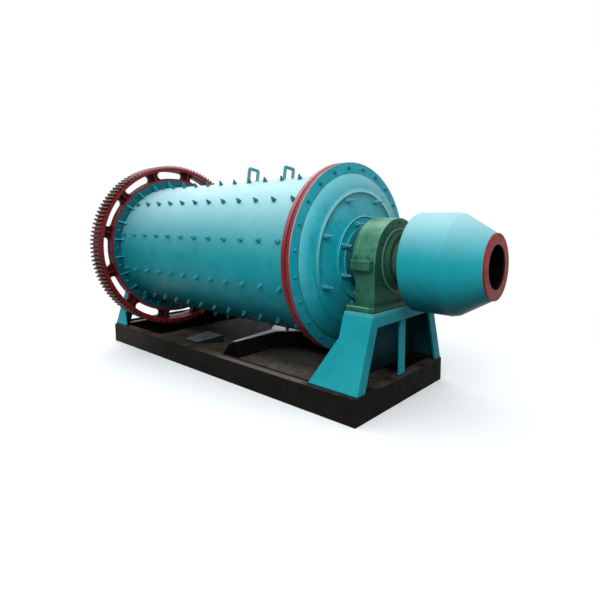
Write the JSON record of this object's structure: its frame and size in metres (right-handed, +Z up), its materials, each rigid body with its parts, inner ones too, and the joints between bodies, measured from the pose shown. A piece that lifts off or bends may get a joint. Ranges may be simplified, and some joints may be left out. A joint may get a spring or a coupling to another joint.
{
  "type": "ball mill",
  "caption": "Horizontal grinding mill: a bolted steel drum with a toothed ring and hollow trunnions turns in pedestal bearings on a beam base.",
  "frame": {"origin": "on the floor, in the middle of the plan of the whole machine, straight below the mill axis", "axes": "+X along the mill axis towards the feed end, +Y to the rear side, +Z up"},
  "size_m": [4.78, 2.12, 2.2999],
  "materials": {
    "teal_paint": "semi-gloss",
    "red_paint": "semi-gloss",
    "green_paint": "semi-gloss",
    "black_paint": "satin",
    "machined_steel": "turned"
  },
  "bodies": {
    "frame": {"bay_floor_plate": "black_paint", "cross_beam": "black_paint", "deck_pad": "black_paint", "deck_plate": "black_paint", "end_beam_feed": "black_paint", "end_beam_gear": "black_paint", "feed_bearing_base": "green_paint", "feed_bearing_cap": "green_paint", "feed_bearing_ring": "green_paint", "feed_pedestal_inner_plate": "teal_paint", "feed_pedestal_outer_frame": "teal_paint", "feed_pedestal_side_front": "teal_paint", "feed_pedestal_side_rear": "teal_paint", "feed_pedestal_top": "teal_paint", "gear_bearing_base": "green_paint", "gear_bearing_cap": "green_paint", "gear_bearing_ring": "green_paint", "gear_pedestal_inner_frame": "teal_paint", "gear_pedestal_outer_frame": "teal_paint", "gear_pedestal_side_front": "teal_paint", "gear_pedestal_side_rear": "teal_paint", "gear_pedestal_top": "teal_paint", "side_beam_front": "black_paint", "side_beam_rear": "black_paint"},
    "drum": {"shell": "teal_paint", "feed_shell_flange": "red_paint", "gear_shell_flange": "teal_paint", "girth_gear_rim": "red_paint", "girth_gear_web": "red_paint", "feed_end_cover": "teal_paint", "gear_end_cover": "teal_paint", "feed_trunnion_flange": "teal_paint", "gear_trunnion_flange": "teal_paint", "feed_trunnion": "machined_steel", "gear_trunnion": "machined_steel", "feed_drum_back": "teal_paint", "feed_drum_barrel": "teal_paint", "feed_drum_cone": "teal_paint", "feed_mouth_ring": "red_paint", "shell_handle_feed_side": "teal_paint", "shell_handle_gear_side": "teal_paint"}
  },
  "joints": [
    {"name": "drum_spin", "type": "hinge", "parent": "frame", "child": "drum", "pos_m": [0, 0, 1.24], "axis": [1, 0, 0], "continuous": true}
  ]
}
